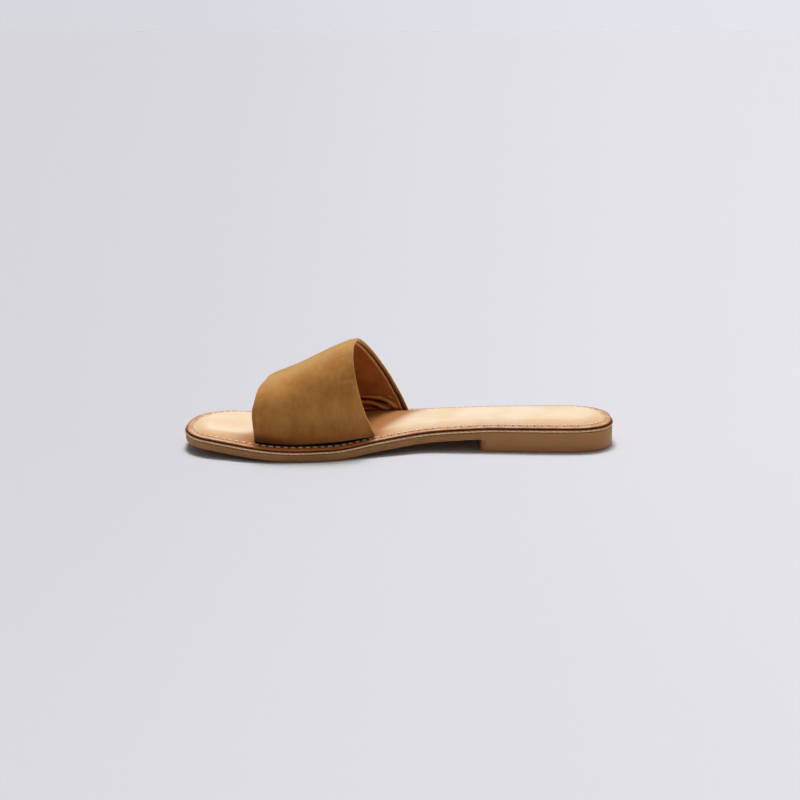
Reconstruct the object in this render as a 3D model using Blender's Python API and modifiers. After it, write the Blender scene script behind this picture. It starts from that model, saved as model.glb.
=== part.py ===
"""Flat slip-on mule for the right foot: one wide band over a stitched footbed on a low-heeled sole.

Run it with blender --background --python part.py, or from the text editor.
Sizes are in millimetres and are scaled to Blender's metres where points are made.
The toe points to -X, the heel to +X, the inner (medial) side of the foot to -Y, and +Z is up.
"along" is the distance from the tip of the toe towards the heel.
"""

import math
from collections import namedtuple

import bmesh
import bpy

MM = 0.001

# Driving dimensions
LENGTH = 256.0
BALL_WIDTH = 93.0
HEEL_WIDTH = 57.0
HEEL_LIFT = 7.6
TOE_SPRING = 4.9
INSTEP_HEIGHT = 56.0
VAMP_HEIGHT = 32.2

# Layers of the sole, from the floor up, with the gap left between neighbours
GAP = 0.3
SOLE_THICK = 4.3
WELT_THICK = 1.4
INSOLE_THICK = 0.8
BAND_THICK = 2.6

# Insets from the outermost outline, which is the bead of the welt
SOLE_INSET = 0.4
WELT_WIDTH = 8.0
INSOLE_INSET = 0.9
FOOTBED_INSET = 5.0
BAND_INSET = 8.0

# Rounding of the outline at its two ends
TOE_TIP_SIDE = -9.0
MEDIAL_TOE_ROUND = 16.0
LATERAL_TOE_ROUND = 32.0
MEDIAL_TOE_SQUARENESS = 2.5
LATERAL_TOE_SQUARENESS = 2.25
HEEL_ROUND = 29.0
HEEL_SQUARENESS = 2.45

# Front face of the heel, which leans back as it goes down
BREAST_ALONG = 174.9
BREAST_LEAN = 0.4
HEEL_EDGE_ROUND = 0.8

TOE_STATIONS = 9
HEEL_STATIONS = 9
BODY_STEP = 8.0

BAND_ROWS = 14
BAND_COLUMNS = 44
BAND_BULGE = 2.6
BAND_BULGE_RISE = 9.0
BAND_SWELL = 1.6
SWELL_LEAN = 2.5
FOOT_CROWDING = 1.6
EDGE_ROUND = 0.9
SLOT_DEPTH = 2.8
SLOT_END_ROOM = 1.5

# Settings of the meshes
WELD_DISTANCE = 0.005
SHARP_ANGLE = 35.0
TURNED_ANGLE = 60.0

# Half widths are shares of the ball width, places are shares of the length
SoleSection = namedtuple("SoleSection", "name along medial lateral")
SOLE_SECTIONS = (
    SoleSection("toe end", 0.00, 0.335, 0.345),
    SoleSection("toes", 0.11, 0.460, 0.358),
    SoleSection("toe roots", 0.19, 0.530, 0.405),
    SoleSection("medial ball", 0.265, 0.540, 0.442),
    SoleSection("lateral ball", 0.36, 0.497, 0.462),
    SoleSection("band rear", 0.45, 0.392, 0.412),
    SoleSection("waist", 0.56, 0.286, 0.332),
    SoleSection("shank", 0.66, 0.287, 0.296),
)
HEEL_SECTION = SoleSection("heel seat", 0.86, 0.51 * HEEL_WIDTH / BALL_WIDTH, 0.49 * HEEL_WIDTH / BALL_WIDTH)

# Height of the sole's underside over the floor; under the heel it is the seat of the heel block
GroundSection = namedtuple("GroundSection", "name along height")
GROUND_SECTIONS = (
    GroundSection("toe tip", 0.00, TOE_SPRING),
    GroundSection("toes", 0.075, 0.71 * TOE_SPRING),
    GroundSection("toe roots", 0.165, 0.31 * TOE_SPRING),
    GroundSection("front of tread", 0.27, 0.0),
    GroundSection("back of tread", 0.34, 0.0),
    GroundSection("waist front", 0.455, 0.32 * HEEL_LIFT),
    GroundSection("waist", 0.55, 0.60 * HEEL_LIFT),
    GroundSection("shank", 0.64, 0.84 * HEEL_LIFT),
    GroundSection("breast", 0.72, 0.97 * HEEL_LIFT),
    GroundSection("heel back", 1.00, HEEL_LIFT),
)

# Ring profiles: inset from the outline and rise over the piece's own underside, from below to above
ProfileRow = namedtuple("ProfileRow", "inset rise")
WELT_PROFILE = (
    ProfileRow(WELT_WIDTH, 0.0),
    ProfileRow(0.4, 0.0),
    ProfileRow(0.0, 0.4),
    ProfileRow(0.0, WELT_THICK - 0.4),
    ProfileRow(0.4, WELT_THICK),
    ProfileRow(WELT_WIDTH, WELT_THICK),
)
INSOLE_PROFILE = (
    ProfileRow(INSOLE_INSET + 0.7, 0.0),
    ProfileRow(INSOLE_INSET + 0.5, 0.25),
    ProfileRow(INSOLE_INSET, 0.4),
    ProfileRow(INSOLE_INSET, INSOLE_THICK - 0.2),
    ProfileRow(INSOLE_INSET + 0.4, INSOLE_THICK),
)
FOOTBED_PROFILE = (
    ProfileRow(FOOTBED_INSET, 0.0),
    ProfileRow(FOOTBED_INSET, 0.3),
    ProfileRow(FOOTBED_INSET + 1.2, 0.5),
    ProfileRow(FOOTBED_INSET + 3.5, 1.3),
    ProfileRow(FOOTBED_INSET + 8.0, 2.1),
)

# Where the band's two cut edges run, from its medial foot over the crest to its lateral foot
BandPlace = namedtuple("BandPlace", "name over front rear")
BAND_PLACES = (
    BandPlace("medial foot", 0.000, 43.4, 113.0),
    BandPlace("medial side", 0.125, 42.1, 106.0),
    BandPlace("medial haunch", 0.250, 43.6, 102.0),
    BandPlace("medial shoulder", 0.375, 45.0, 100.7),
    BandPlace("crest", 0.500, 48.2, 101.8),
    BandPlace("lateral shoulder", 0.625, 53.2, 105.6),
    BandPlace("lateral haunch", 0.750, 58.0, 113.4),
    BandPlace("lateral side", 0.875, 61.5, 123.8),
    BandPlace("lateral foot", 1.000, 64.0, 134.1),
)

# The arch at each cut edge: its crest, and how square the half arch is on each side of it
BandArch = namedtuple("BandArch", "crest_side crest_rise medial_square lateral_square")
FRONT_ARCH = BandArch(-4.0, VAMP_HEIGHT, 3.3, 2.6)
REAR_ARCH = BandArch(-6.0, INSTEP_HEIGHT, 2.2, 2.05)


def through(points, level=False):
    """A smooth curve through (place, value) points. A level curve never overshoots them."""
    places = [p for p, _ in points]
    values = [v for _, v in points]
    steps = [b - a for a, b in zip(places, places[1:])]
    rates = [(b - a) / s for a, b, s in zip(values, values[1:], steps)]
    slopes = [rates[0]]
    for i in range(len(rates) - 1):
        before, after = rates[i], rates[i + 1]
        if not level:
            slopes.append((before * steps[i + 1] + after * steps[i]) / (steps[i] + steps[i + 1]))
        elif before * after <= 0:
            slopes.append(0.0)
        else:
            slopes.append(2 * before * after / (before + after))
    slopes.append(rates[-1])

    def value_at(place):
        place = min(max(place, places[0]), places[-1])
        i = max(k for k in range(len(steps)) if places[k] <= place)
        t = (place - places[i]) / steps[i]
        rise = values[i + 1] - values[i]
        return (
            values[i]
            + rise * t * t * (3 - 2 * t)
            + steps[i] * t * (1 - t) * (slopes[i] * (1 - t) - slopes[i + 1] * t)
        )

    return value_at


def half_width(side):
    rows = [*SOLE_SECTIONS, HEEL_SECTION, HEEL_SECTION._replace(along=1.0)]
    return through([(row.along * LENGTH, getattr(row, side) * BALL_WIDTH) for row in rows])


medial_width = half_width("medial")
lateral_width = half_width("lateral")
ground = through([(row.along * LENGTH, row.height) for row in GROUND_SECTIONS], level=True)

# The outline is widest at the balls, and the part's origin is in the middle of its box
WIDEST_MEDIAL = max(medial_width(a) for a in range(int(LENGTH)))
WIDEST_LATERAL = max(lateral_width(a) for a in range(int(LENGTH)))
AXIS_SIDE = (WIDEST_MEDIAL - WIDEST_LATERAL) / 2


def sole_top(along):
    return ground(along) + SOLE_THICK


def welt_base(along):
    return sole_top(along) + GAP


def insole_base(along):
    return welt_base(along) + WELT_THICK + GAP


def insole_top(along):
    return insole_base(along) + INSOLE_THICK


def footbed_base(along):
    return insole_top(along) + GAP


def tread(along):
    """The face that meets the floor: the forepart's underside, then the heel block's."""
    return ground(along) if along <= BREAST_ALONG else 0.0


def rounded(distance, length, squareness):
    """Share of the full half width at a distance from an end that is rounded over a length."""
    if distance >= length:
        return 1.0
    return (1 - (1 - distance / length) ** squareness) ** (1 / squareness)


def stations(inset):
    """Places along the shoe, close together where the outline turns round its ends."""
    toe = [
        inset + (LATERAL_TOE_ROUND - inset) * (1 - math.cos(math.pi / 2 * i / TOE_STATIONS))
        for i in range(TOE_STATIONS)
    ]
    heel = [
        LENGTH - inset - (HEEL_ROUND - inset) * (1 - math.cos(math.pi / 2 * i / HEEL_STATIONS))
        for i in range(HEEL_STATIONS)
    ]
    count = round((LENGTH - HEEL_ROUND - LATERAL_TOE_ROUND) / BODY_STEP)
    step = (LENGTH - HEEL_ROUND - LATERAL_TOE_ROUND) / count
    body = [LATERAL_TOE_ROUND + step * i for i in range(count + 1)]
    breast = [BREAST_ALONG, BREAST_ALONG + BREAST_LEAN]
    body = [a for a in body if min(abs(a - b) for b in breast) > BODY_STEP / 4] + breast
    return toe + sorted(body) + heel[::-1]


def edge_sides(along, inset):
    """Sideways places of the medial and lateral edges of the outline, drawn in by an inset."""
    from_toe = along - inset
    from_heel = LENGTH - inset - along
    heel_share = rounded(from_heel, HEEL_ROUND - inset, HEEL_SQUARENESS)
    found = []
    for sign, width, toe_round, squareness in (
        (-1, medial_width, MEDIAL_TOE_ROUND, MEDIAL_TOE_SQUARENESS),
        (1, lateral_width, LATERAL_TOE_ROUND, LATERAL_TOE_SQUARENESS),
    ):
        slope = width(along + 1) - width(along - 1)
        full = sign * (width(along) - inset * math.hypot(1, slope / 2))
        toe_share = rounded(from_toe, toe_round - inset, squareness)
        found.append((TOE_TIP_SIDE + (full - TOE_TIP_SIDE) * toe_share) * heel_share)
    return found


def ring(inset, height):
    """Closed loop of points round the shoe: toe tip, medial edge, heel back, lateral edge."""
    rows = [(along, *edge_sides(along, inset)) for along in stations(inset)]
    loop = [(along, medial) for along, medial, _ in rows]
    loop += [(along, lateral) for along, _, lateral in rows[-2:0:-1]]
    return [point(along, side, height(along)) for along, side in loop]


def point(along, side, height):
    """A place on the shoe as Blender coordinates."""
    return ((along - LENGTH / 2) * MM, (side + AXIS_SIDE) * MM, height * MM)


def add_object(name, bm, material, collection):
    """Turns a bmesh into a named object with outward faces."""
    bmesh.ops.remove_doubles(bm, verts=bm.verts, dist=WELD_DISTANCE * MM)
    bmesh.ops.recalc_face_normals(bm, faces=bm.faces)
    mesh = bpy.data.meshes.new(name)
    bm.to_mesh(mesh)
    bm.free()
    mesh.materials.append(material)
    mesh.shade_smooth()
    mesh.set_sharp_from_angle(angle=math.radians(SHARP_ANGLE))
    made = bpy.data.objects.new(name, mesh)
    collection.objects.link(made)
    return made


def wall(bm, lower, upper):
    """Faces between two loops of vertices with the same count."""
    count = len(lower)
    for i in range(count):
        j = (i + 1) % count
        bm.faces.new((lower[i], lower[j], upper[j], upper[i]))


def cap(bm, loop):
    """Faces across a loop, rung by rung from its medial to its lateral edge."""
    half = len(loop) // 2
    medial = loop[: half + 1]
    lateral = [loop[0], *loop[:half:-1], loop[half]]
    for i in range(half):
        rung = [medial[i], medial[i + 1], lateral[i + 1], lateral[i]]
        bm.faces.new(list(dict.fromkeys(rung)))


def loft(name, rings, material, collection, closed_tube=False):
    """A solid through rings of points. A closed tube joins the last ring to the first."""
    bm = bmesh.new()
    loops = [[bm.verts.new(p) for p in points] for points in rings]
    for lower, upper in zip(loops, loops[1:]):
        wall(bm, lower, upper)
    if closed_tube:
        wall(bm, loops[-1], loops[0])
    else:
        cap(bm, loops[0])
        cap(bm, loops[-1])
    return add_object(name, bm, material, collection)


def profile_rings(profile, base):
    return [ring(row.inset, lambda along, rise=row.rise: base(along) + rise) for row in profile]


def make_material(name, colour, roughness):
    material = bpy.data.materials.new(name)
    material.use_nodes = True
    shader = material.node_tree.nodes["Principled BSDF"]
    shader.inputs["Base Color"].default_value = (*colour, 1.0)
    shader.inputs["Roughness"].default_value = roughness
    shader.inputs["Metallic"].default_value = 0.0
    return material


def make_outsole(collection):
    """Moulded sole with its heel block, a ledge for the welt and a raised middle inside it."""
    rubber = make_material("brown_rubber", (0.178, 0.084, 0.038), 0.55)
    raised = WELT_THICK + GAP
    rings = [
        ring(SOLE_INSET + HEEL_EDGE_ROUND, tread),
        ring(SOLE_INSET, lambda along: tread(along) + HEEL_EDGE_ROUND),
        ring(SOLE_INSET, sole_top),
        ring(WELT_WIDTH + GAP, sole_top),
        ring(WELT_WIDTH + 2 * GAP, lambda along: sole_top(along) + raised),
    ]
    return loft("outsole", rings, rubber, collection)


def make_welt(collection):
    """Pale strip with a rounded bead, laid on the ledge all the way round the sole."""
    cream = make_material("cream_welt", (0.42, 0.29, 0.16), 0.7)
    return loft("welt", profile_rings(WELT_PROFILE, welt_base), cream, collection, closed_tube=True)


def make_insole(collection):
    """Leather-covered board whose rim shows outside the footbed's stitching."""
    rim = make_material("brown_rim", (0.44, 0.21, 0.09), 0.45)
    return loft("insole", profile_rings(INSOLE_PROFILE, insole_base), rim, collection)


def edge_side(along, inset, sign):
    medial, lateral = edge_sides(along, inset)
    return medial if sign < 0 else lateral


def slot_cutter(name, sign, front, rear, collection, material):
    """Block that follows one end of the band and cuts its slot through the footbed."""
    bm = bmesh.new()
    count = round((rear - front) / BODY_STEP)
    loops = []
    for i in range(count + 1):
        along = front - SLOT_END_ROOM + (rear - front + 2 * SLOT_END_ROOM) * i / count
        outer = edge_side(along, BAND_INSET - GAP, sign)
        inner = edge_side(along, BAND_INSET + BAND_THICK + GAP, sign)
        low = insole_top(along) - GAP
        high = low + 3 * SLOT_DEPTH
        corners = ((outer, low), (outer, high), (inner, high), (inner, low))
        loops.append([bm.verts.new(point(along, side, height)) for side, height in corners])
    for near, far in zip(loops, loops[1:]):
        wall(bm, near, far)
    bm.faces.new(loops[0])
    bm.faces.new(loops[-1])
    cutter = add_object(name, bm, material, collection)
    cutter.hide_render = True
    cutter.display_type = "WIRE"
    return cutter


def make_footbed(collection, cutters):
    """Pale padded sock, crowned inside its stitched edge, with a slot for each end of the band."""
    leather = make_material("pale_leather", (0.80, 0.56, 0.34), 0.4)
    footbed = loft("footbed", profile_rings(FOOTBED_PROFILE, footbed_base), leather, collection)
    for name, sign, foot in (("medial_slot", -1, BAND_PLACES[0]), ("lateral_slot", 1, BAND_PLACES[-1])):
        cut = footbed.modifiers.new(name, "BOOLEAN")
        cut.operation = "DIFFERENCE"
        cut.object = slot_cutter(name, sign, foot.front, foot.rear, cutters, leather)
    return footbed


def smooth_step(share):
    share = min(max(share, 0.0), 1.0)
    return share * share * (3 - 2 * share)


front_along = through([(place.over, place.front) for place in BAND_PLACES])
rear_along = through([(place.over, place.rear) for place in BAND_PLACES])


def between(front, rear, across):
    return front + (rear - front) * across


def band_point(across, over):
    """Outer face of the band: across runs from its front edge to its rear, over from medial to lateral."""
    arch = BandArch(*(between(front, rear, across) for front, rear in zip(FRONT_ARCH, REAR_ARCH)))
    sign = -1 if over < 0.5 else 1
    square = arch.medial_square if sign < 0 else arch.lateral_square
    climb = min(2 * over, 2 - 2 * over)
    up = math.sin(climb * math.pi / 2) ** (2 / square)
    out = max(math.cos(climb * math.pi / 2), 0.0) ** (2 / square)
    along = between(front_along(over), rear_along(over), across)
    crest_along = between(front_along(0.5), rear_along(0.5), across)
    foot_over = 0.0 if sign < 0 else 1.0
    foot_along = between(front_along(foot_over), rear_along(foot_over), across)
    foot_height = insole_top(foot_along) + GAP
    swell = BAND_SWELL * math.sin(math.pi * across**SWELL_LEAN)
    rise = (insole_top(crest_along) + arch.crest_rise + swell - foot_height) * up
    bulge = BAND_BULGE * smooth_step((rise - SLOT_DEPTH) / BAND_BULGE_RISE)
    foot_side = edge_side(along, BAND_INSET, sign) + sign * bulge
    side = between(arch.crest_side, foot_side, out)
    return point(along, side, foot_height + rise)


def crowded(share):
    """Moves evenly spaced shares of the arch towards its two feet, where the band turns into its slots."""
    if share > 0.5:
        return 1 - crowded(1 - share)
    return (2 * share) ** FOOT_CROWDING / 2


def make_upper(collection):
    """Padded band over the forefoot, open at the toe and at the heel, made as a shell with a thickness."""
    suede = make_material("tan_suede", (0.33, 0.16, 0.055), 0.9)
    bm = bmesh.new()
    bmesh.ops.create_grid(bm, x_segments=BAND_ROWS, y_segments=BAND_COLUMNS, size=0.5)
    for vert in bm.verts:
        vert.co = band_point(vert.co.x + 0.5, crowded(vert.co.y + 0.5))
    upper = add_object("upper", bm, suede, collection)
    shell = upper.modifiers.new("wall", "SOLIDIFY")
    shell.thickness = BAND_THICK * MM
    shell.offset = -1.0
    shell.use_even_offset = True
    edges = upper.modifiers.new("turned_edges", "BEVEL")
    edges.width = EDGE_ROUND * MM
    edges.segments = 2
    edges.limit_method = "ANGLE"
    edges.angle_limit = math.radians(TURNED_ANGLE)
    return upper


def main():
    for old in list(bpy.data.objects):
        bpy.data.objects.remove(old)
    scene = bpy.context.scene.collection
    mule = bpy.data.collections.new("mule")
    cutters = bpy.data.collections.new("cutters")
    scene.children.link(mule)
    scene.children.link(cutters)
    make_outsole(mule)
    make_welt(mule)
    make_insole(mule)
    make_footbed(mule, cutters)
    make_upper(mule)


main()
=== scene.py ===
"""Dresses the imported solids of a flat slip-on mule for the right foot.

Lengths are in millimetres and turn into metres where a mesh is made. Only the camera and the floor are
placed in metres. The toe points to -X, the heel to +X, the inner (medial) side of the foot to -Y, and +Z
is up. "Along" is the distance from the tip of the toe.
"""

import math
from collections import namedtuple

import bmesh
import bpy
import numpy as np
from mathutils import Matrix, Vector


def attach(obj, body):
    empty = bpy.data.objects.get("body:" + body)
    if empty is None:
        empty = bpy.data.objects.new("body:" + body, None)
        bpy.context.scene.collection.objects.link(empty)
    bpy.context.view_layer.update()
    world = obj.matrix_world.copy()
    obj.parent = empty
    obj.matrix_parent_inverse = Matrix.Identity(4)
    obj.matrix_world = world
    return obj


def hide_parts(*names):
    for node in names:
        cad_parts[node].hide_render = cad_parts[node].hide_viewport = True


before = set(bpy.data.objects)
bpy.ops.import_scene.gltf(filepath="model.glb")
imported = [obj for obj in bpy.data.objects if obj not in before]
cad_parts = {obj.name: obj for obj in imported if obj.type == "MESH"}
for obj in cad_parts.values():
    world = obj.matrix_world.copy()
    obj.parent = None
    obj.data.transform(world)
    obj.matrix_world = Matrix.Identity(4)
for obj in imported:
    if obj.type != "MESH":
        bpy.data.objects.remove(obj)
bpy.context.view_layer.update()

# Camera
# A long lens, square to the inner side of the shoe and a little above it.
CAMERA_RISE = math.radians(14.0)
CAMERA_DISTANCE = 0.9
CAMERA_TARGET = Vector((0.0, 0.0, 0.0256))
CAMERA_LENS = 67.6
SENSOR_WIDTH = 36.0

camera_data = bpy.data.cameras.new("camera")
camera_data.lens = CAMERA_LENS
camera_data.sensor_width = SENSOR_WIDTH
camera = bpy.data.objects.new("camera", camera_data)
bpy.context.scene.collection.objects.link(camera)
towards_camera = Vector((0.0, -math.cos(CAMERA_RISE), math.sin(CAMERA_RISE)))
camera.location = CAMERA_TARGET + towards_camera * CAMERA_DISTANCE
camera.rotation_mode = "QUATERNION"
camera.rotation_quaternion = (-towards_camera).to_track_quat("-Z", "Y")
bpy.context.scene.camera = camera

# Outsole
# One moulded unit of brown rubber, sole plate and low block heel together. Its lower edges are rounded,
# a ledge for the welt runs round its top, and waved grooves give grip under the ball and the heel.
MM = 0.001
LENGTH = 256.0
BALL_WIDTH = 93.0
HEEL_WIDTH = 57.0
HEEL_LIFT = 7.6
TOE_SPRING = 4.9
TOE_TIP_SIDE = -9.0
HEEL_ROUND = 29.0
HEEL_SQUARENESS = 2.45
GAP = 0.3
SOLE_THICK = 4.3
SOLE_INSET = 0.4
WELT_THICK = 1.4
WELT_WIDTH = 8.0
BREAST_ALONG = 174.9
BREAST_LEAN = 0.4
BREAST_ROUND = 0.7
BREAST_CORNER = 4.8

# Half widths are shares of the ball width, and places are shares of the length
SoleSection = namedtuple("SoleSection", "name along medial lateral")
SOLE_SECTIONS = (
    SoleSection("toe end", 0.00, 0.335, 0.345),
    SoleSection("toes", 0.11, 0.460, 0.358),
    SoleSection("toe roots", 0.19, 0.530, 0.405),
    SoleSection("medial ball", 0.265, 0.540, 0.442),
    SoleSection("lateral ball", 0.36, 0.497, 0.462),
    SoleSection("band rear", 0.45, 0.392, 0.412),
    SoleSection("waist", 0.56, 0.286, 0.332),
    SoleSection("shank", 0.66, 0.287, 0.296),
    SoleSection("heel seat", 0.86, 0.51 * HEEL_WIDTH / BALL_WIDTH, 0.49 * HEEL_WIDTH / BALL_WIDTH),
    SoleSection("heel back", 1.00, 0.51 * HEEL_WIDTH / BALL_WIDTH, 0.49 * HEEL_WIDTH / BALL_WIDTH),
)
GroundSection = namedtuple("GroundSection", "name along height")
GROUND_SECTIONS = (
    GroundSection("toe tip", 0.00, TOE_SPRING),
    GroundSection("toes", 0.075, 0.71 * TOE_SPRING),
    GroundSection("toe roots", 0.165, 0.31 * TOE_SPRING),
    GroundSection("front of tread", 0.27, 0.0),
    GroundSection("back of tread", 0.34, 0.0),
    GroundSection("waist front", 0.455, 0.32 * HEEL_LIFT),
    GroundSection("waist", 0.55, 0.60 * HEEL_LIFT),
    GroundSection("shank", 0.64, 0.84 * HEEL_LIFT),
    GroundSection("breast", 0.72, 0.97 * HEEL_LIFT),
    GroundSection("heel back", 1.00, HEEL_LIFT),
)


def through(places, values, level=False):
    """A smooth curve through values at places. A level curve never overshoots them."""
    steps = np.diff(places)
    rates = np.diff(values) / steps
    before = rates[:-1]
    after = rates[1:]
    if level:
        turns = before * after <= 0
        inner = np.where(turns, 0.0, 2 * before * after / np.where(turns, 1.0, before + after))
    else:
        inner = (before * steps[1:] + after * steps[:-1]) / (steps[:-1] + steps[1:])
    slopes = np.concatenate([rates[:1], inner, rates[-1:]])

    def value_at(place):
        place = np.clip(place, places[0], places[-1])
        i = np.clip(np.searchsorted(places, place, side="right") - 1, 0, len(steps) - 1)
        t = (place - places[i]) / steps[i]
        rise = values[i + 1] - values[i]
        bend = slopes[i] * (1 - t) - slopes[i + 1] * t
        return values[i] + rise * t * t * (3 - 2 * t) + steps[i] * t * (1 - t) * bend

    return value_at


def column(rows, name):
    return np.array([getattr(row, name) for row in rows])


section_alongs = column(SOLE_SECTIONS, "along") * LENGTH
medial_width = through(section_alongs, column(SOLE_SECTIONS, "medial") * BALL_WIDTH)
lateral_width = through(section_alongs, column(SOLE_SECTIONS, "lateral") * BALL_WIDTH)
ground_alongs = column(GROUND_SECTIONS, "along") * LENGTH
ground = through(ground_alongs, column(GROUND_SECTIONS, "height"), level=True)
whole_alongs = np.arange(int(LENGTH))
AXIS_SIDE = (medial_width(whole_alongs).max() - lateral_width(whole_alongs).max()) / 2

Edge = namedtuple("Edge", "sign width toe_round toe_squareness")
MEDIAL = Edge(-1, medial_width, 16.0, 2.5)
LATERAL = Edge(1, lateral_width, 32.0, 2.25)

# Shares of each edge, from toe tip to heel back, that its two rounded ends take
TOE_SHARE = 0.18
HEEL_SHARE = 0.16


def smooth_step(share):
    share = np.clip(share, 0.0, 1.0)
    return share * share * (3 - 2 * share)


def rounded(distance, length, squareness):
    """Share of the full half width at a distance from an end that is rounded over a length."""
    left = np.clip(1 - distance / length, 0.0, 1.0)
    return (1 - left**squareness) ** (1 / squareness)


def end_curve(share, length, squareness):
    """Distance from a rounded end, at shares that lie evenly round its curve."""
    share = np.clip(share, 0.0, 1.0)
    climb = share ** (squareness / 2)
    turn = climb / (climb + (1 - share) ** (squareness / 2))
    return length * (1 - np.maximum(np.cos(turn * np.pi / 2), 0.0) ** (2 / squareness))


def along_at(share, inset, edge):
    """Distance along the shoe at a share of one edge, which is drawn in by an inset."""
    toe = inset + end_curve(share / TOE_SHARE, edge.toe_round - inset, edge.toe_squareness)
    heel = LENGTH - inset - end_curve((1 - share) / HEEL_SHARE, HEEL_ROUND - inset, HEEL_SQUARENESS)
    body = np.interp(share, (TOE_SHARE, 1 - HEEL_SHARE), (edge.toe_round, LENGTH - HEEL_ROUND))
    return np.where(share < TOE_SHARE, toe, np.where(share > 1 - HEEL_SHARE, heel, body))


def edge_side(along, inset, edge):
    """Sideways place of one edge of the outline, drawn in by an inset."""
    slope = edge.width(along + 1) - edge.width(along - 1)
    full = edge.sign * (edge.width(along) - inset * np.hypot(1, slope / 2))
    toe_share = rounded(along - inset, edge.toe_round - inset, edge.toe_squareness)
    heel_share = rounded(LENGTH - inset - along, HEEL_ROUND - inset, HEEL_SQUARENESS)
    return (TOE_TIP_SIDE + (full - TOE_TIP_SIDE) * toe_share) * heel_share


def edge_line(shares, inset, edge):
    """Points (along, side) of one edge, from the toe tip to the heel back."""
    along = along_at(shares, inset, edge)
    return np.stack([along, edge_side(along, inset, edge)], axis=-1)


def round_loop(shares, inset):
    """Closed loop of (along, side): the medial edge, then the lateral edge back to the toe."""
    medial = edge_line(shares[0], inset, MEDIAL)
    lateral = edge_line(shares[1], inset, LATERAL)
    return np.concatenate([medial, lateral[-2:0:-1]])


def ring(shares, inset, height):
    """The loop as points over the floor. The height is a function of along."""
    flat = round_loop(shares, inset)
    return np.column_stack([flat, height(flat[:, 0])])


def rungs(shares, inset, columns):
    """Grid of (along, side) across the loop, rung by rung from its medial to its lateral edge."""
    medial = edge_line(shares[0], inset, MEDIAL)[:, None]
    lateral = edge_line(shares[1], inset, LATERAL)[:, None]
    return medial + (lateral - medial) * np.linspace(0, 1, columns + 1)[None, :, None]


WELD_DISTANCE = 0.001


def add_piece(name, grids, material, marks=None, sharp=50.0):
    """One smooth closed mesh from grids of points, riding on the shoe's only body.

    A grid is (points, wraps): rows of points, whose last column joins the first where it wraps.
    Marks are values for each point, which the material reads by name.
    """
    points = []
    faces = []
    start = 0
    for grid, wraps in grids:
        rows, columns = grid.shape[:2]
        index = start + np.arange(rows * columns).reshape(rows, columns)
        if wraps:
            index = np.column_stack([index, index[:, :1]])
        quads = np.stack([index[:-1, :-1], index[:-1, 1:], index[1:, 1:], index[1:, :-1]], axis=-1)
        faces.append(quads.reshape(-1, 4))
        points.append(grid.reshape(-1, 3))
        start += rows * columns
    points = np.concatenate(points)
    points = (points + (-LENGTH / 2, AXIS_SIDE, 0.0)) * MM
    mesh = bpy.data.meshes.new(name)
    mesh.from_pydata(points.tolist(), [], np.concatenate(faces).tolist())
    for mark, values in (marks or {}).items():
        layer = mesh.attributes.new(mark, "FLOAT", "POINT")
        layer.data.foreach_set("value", np.concatenate([v.ravel() for v in values]).astype(np.float32))
    bm = bmesh.new()
    bm.from_mesh(mesh)
    bmesh.ops.remove_doubles(bm, verts=bm.verts, dist=WELD_DISTANCE * MM)
    bmesh.ops.holes_fill(bm, edges=bm.edges, sides=0)
    bmesh.ops.recalc_face_normals(bm, faces=bm.faces)
    bm.to_mesh(mesh)
    bm.free()
    mesh.shade_smooth()
    mesh.set_sharp_from_angle(angle=math.radians(sharp))
    mesh.materials.append(material)
    piece = bpy.data.objects.new(name, mesh)
    bpy.context.scene.collection.objects.link(piece)
    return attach(piece, "root")


class Shade:
    """A value in a material's nodes. Sums of values add Math nodes, and node() adds any other node."""

    def __init__(self, tree, socket=None):
        self.tree = tree
        self.socket = socket

    def node(self, kind, settings=None, values=None, output=0):
        made = self.tree.nodes.new(kind)
        for name, value in (settings or {}).items():
            setattr(made, name, value)
        for name, value in (values or {}).items():
            if isinstance(value, Shade):
                self.tree.links.new(value.socket, made.inputs[name])
            else:
                made.inputs[name].default_value = value
        return Shade(self.tree, made.outputs[output] if len(made.outputs) else None)

    def maths(self, operation, first, second):
        return self.node("ShaderNodeMath", {"operation": operation}, {0: first, 1: second})

    def __add__(self, other):
        return self.maths("ADD", self, other)

    def __radd__(self, other):
        return self.maths("ADD", other, self)

    def __sub__(self, other):
        return self.maths("SUBTRACT", self, other)

    def __rsub__(self, other):
        return self.maths("SUBTRACT", other, self)

    def __mul__(self, other):
        return self.maths("MULTIPLY", self, other)

    def __rmul__(self, other):
        return self.maths("MULTIPLY", other, self)

    def between(self, low, high):
        """0 below low, 1 above high, and smooth between them."""
        settings = {"interpolation_type": "SMOOTHSTEP"}
        return self.node("ShaderNodeMapRange", settings, {"Value": self, "From Min": low, "From Max": high})

    def blend(self, first, second):
        """The first colour where this value is 0, the second where it is 1."""
        settings = {"data_type": "RGBA", "clamp_factor": True}
        return self.node("ShaderNodeMix", settings, {0: self, 6: first, 7: second}, output=2)

    def grain(self, size, detail=3.0, roughness=0.55):
        """Noise over places, with lumps of a size in millimetres."""
        values = {"Vector": self, "Scale": 1 / size, "Detail": detail, "Roughness": roughness}
        return self.node("ShaderNodeTexNoise", None, values)

    def part(self, axis):
        return self.node("ShaderNodeSeparateXYZ", None, {0: self}, output=axis)


def new_finish(name):
    """An empty material, and the places on the piece in millimetres that its nodes start from."""
    material = bpy.data.materials.new(name)
    material.use_nodes = True
    material.node_tree.nodes.clear()
    metres = Shade(material.node_tree).node("ShaderNodeTexCoord", output="Object")
    settings = {"operation": "SCALE"}
    return material, metres.node("ShaderNodeVectorMath", settings, {0: metres, "Scale": 1 / MM})


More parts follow.
